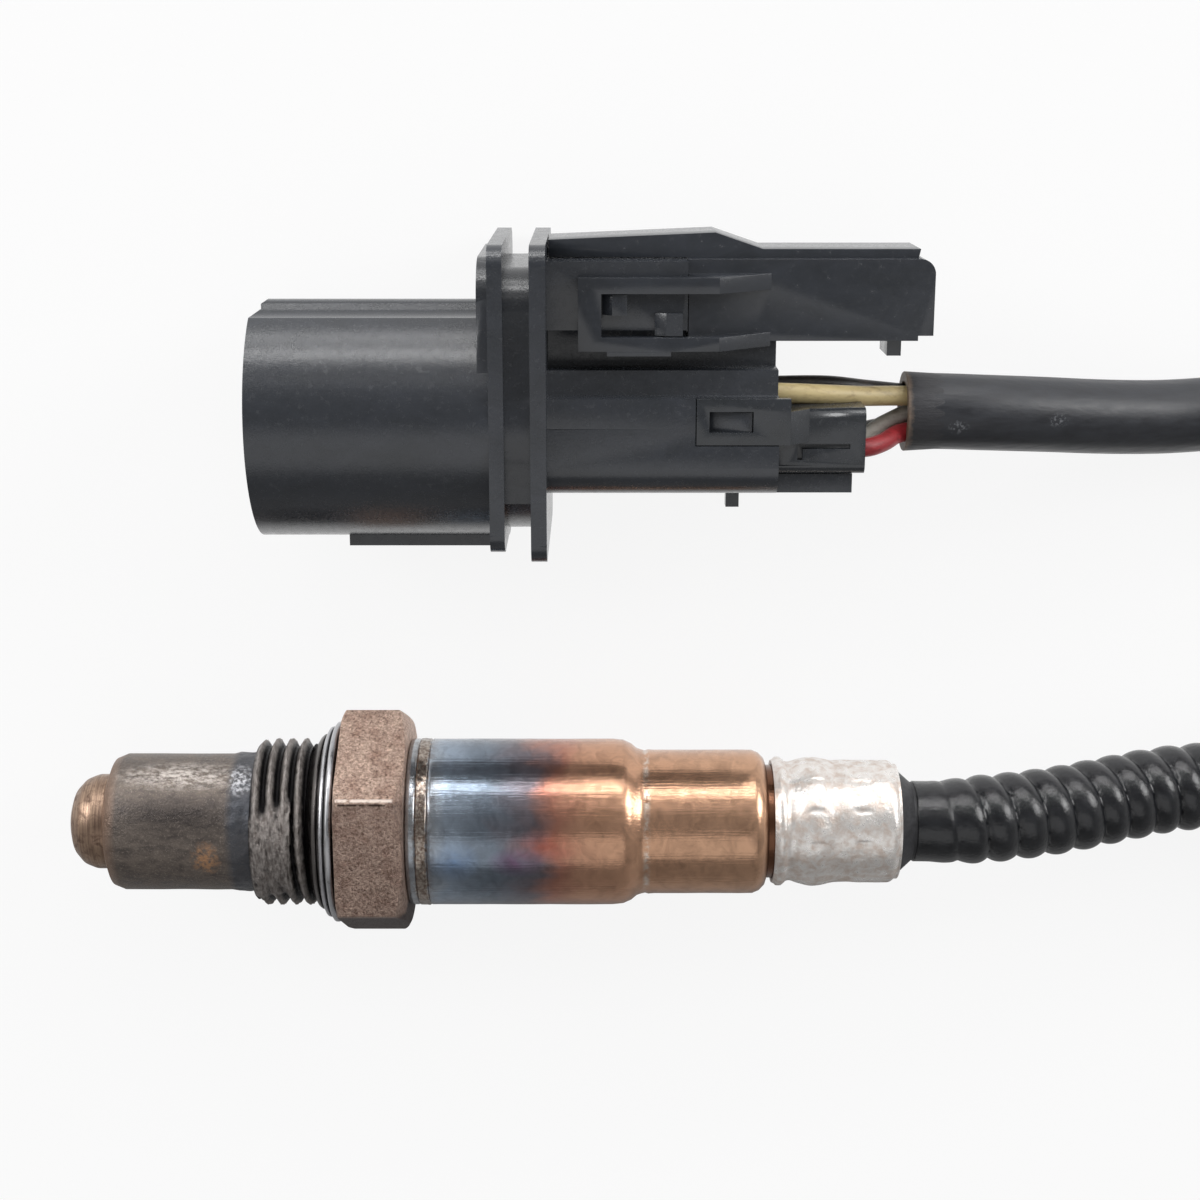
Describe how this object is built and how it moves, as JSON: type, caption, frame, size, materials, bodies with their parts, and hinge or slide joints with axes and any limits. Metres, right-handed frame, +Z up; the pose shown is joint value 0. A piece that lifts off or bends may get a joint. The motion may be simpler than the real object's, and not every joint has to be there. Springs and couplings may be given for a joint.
{
  "type": "oxygen sensor",
  "caption": "Wideband oxygen sensor for an exhaust: heat-tinted threaded probe with a hexagon, corrugated hose, coiled cable and a black D-shaped plug on a double flange.",
  "frame": {"origin": "on the probe's axis, at the front face of its sealing ring", "axes": "+X along the probe from its tip to its hose, +Z up from the surface that the hexagon lies on, +Y towards the plug"},
  "size_m": [0.2412, 0.0978, 0.0248],
  "materials": {
    "tip_steel": "heat-browned, finely turned",
    "tube_steel": "sooted and stained steel",
    "body_steel": "grainy, coppery heat-browned steel",
    "ring_steel": "bright folded sheet with dark folds",
    "strip_ceramic": "matt white fired ceramic",
    "bush_ceramic": "matt off-white",
    "packing_powder": "pressed powder",
    "carrier_ceramic": "matt cream",
    "spring_alloy": "bright rolled strip",
    "sleeve_steel": "drawn steel with blue, purple and copper heat tint",
    "grommet_white": "matt white",
    "lead_insulation": "satin",
    "crimp_steel": "bright pressed steel with press marks",
    "boot_rubber": "satin black",
    "hose_plastic": "glossy black corrugated",
    "join_rubber": "satin black",
    "cable_sheath": "smooth satin black",
    "wire_yellow": "satin",
    "wire_black": "satin",
    "wire_white": "satin",
    "wire_grey": "satin",
    "wire_red": "satin",
    "plug_plastic": "glass-filled black plastic, satin",
    "slide_plastic": "black plastic, smoother edges",
    "lock_plastic": "black plastic",
    "blade_metal": "tin-plated",
    "seal_rubber": "soft rubber",
    "resistor_ceramic": "matt"
  },
  "bodies": {
    "root": {"inner_protection_tube": "tip_steel", "outer_protection_tube": "tube_steel", "housing": "body_steel", "sealing_ring": "ring_steel", "sensing_strip": "strip_ceramic", "lower_ceramic_bush": "bush_ceramic", "powder_packing": "packing_powder", "upper_ceramic_bush": "bush_ceramic", "contact_carrier": "carrier_ceramic", "contact_springs": "spring_alloy", "protective_sleeve": "sleeve_steel", "lead_grommet": "grommet_white", "sensor_leads": "lead_insulation", "crimp_sleeve": "crimp_steel", "hose_boot": "boot_rubber", "protective_hose": "hose_plastic", "hose_join_sleeve": "join_rubber", "cable_lead_in": "cable_sheath", "cable_coil": "cable_sheath", "cable_lead_out": "cable_sheath", "wire_yellow": "wire_yellow", "wire_black": "wire_black", "wire_white": "wire_white", "wire_grey": "wire_grey", "wire_red": "wire_red", "plug_housing": "plug_plastic", "mounting_slide": "slide_plastic", "rear_lock": "lock_plastic", "contact_blades": "blade_metal", "wire_seals": "seal_rubber", "trim_resistor": "resistor_ceramic"}
  },
  "joints": []
}
